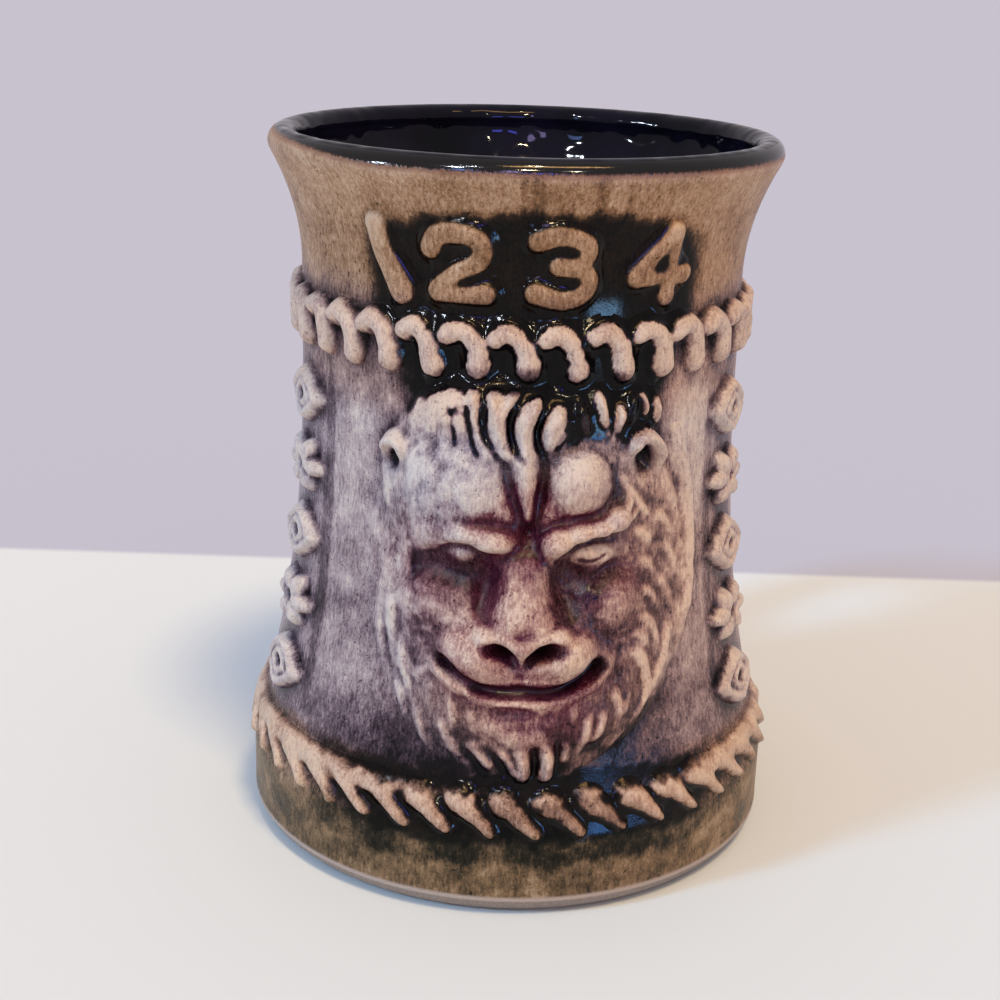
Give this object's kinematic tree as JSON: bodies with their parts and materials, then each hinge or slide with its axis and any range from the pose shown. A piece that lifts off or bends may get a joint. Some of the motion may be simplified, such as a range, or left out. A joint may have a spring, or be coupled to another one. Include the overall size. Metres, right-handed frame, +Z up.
{
  "type": "relief beer mug",
  "caption": "Stoneware beer mug with a flared foot and lip, two rope bands, raised plain numerals and a lion's head in relief on the front, and a loop handle at the back.",
  "frame": {"origin": "centre of the flat foot the mug rests on", "axes": "+Z up along the mug's axis; the lion's head looks along -Y and the handle stands out at +Y"},
  "size_m": [0.1024, 0.1296, 0.13],
  "materials": {
    "wiped_body": "semi-gloss wiped stain glaze over pale stoneware, dark glossy glaze inside and in hollows, bare foot",
    "rope_relief": "wiped beige highlights, dark glossy glaze between the strands",
    "lion_relief": "wiped beige and mauve highlights, dark purple-brown glaze in the hollows",
    "numeral_relief": "wiped tan highlights with a dark glossy edge",
    "ornament_relief": "wiped beige highlights, dark glaze round the edge"
  },
  "bodies": {
    "root": {"body": "wiped_body", "handle": "wiped_body", "upper_rope": "rope_relief", "lower_rope": "rope_relief", "lion_mask": "lion_relief", "numeral_1": "numeral_relief", "numeral_2": "numeral_relief", "numeral_3": "numeral_relief", "numeral_4": "numeral_relief", "left_ornament_1": "ornament_relief", "left_ornament_2": "ornament_relief", "left_ornament_3": "ornament_relief", "left_ornament_4": "ornament_relief", "left_ornament_5": "ornament_relief", "right_ornament_1": "ornament_relief", "right_ornament_2": "ornament_relief", "right_ornament_3": "ornament_relief", "right_ornament_4": "ornament_relief", "right_ornament_5": "ornament_relief"}
  },
  "joints": []
}
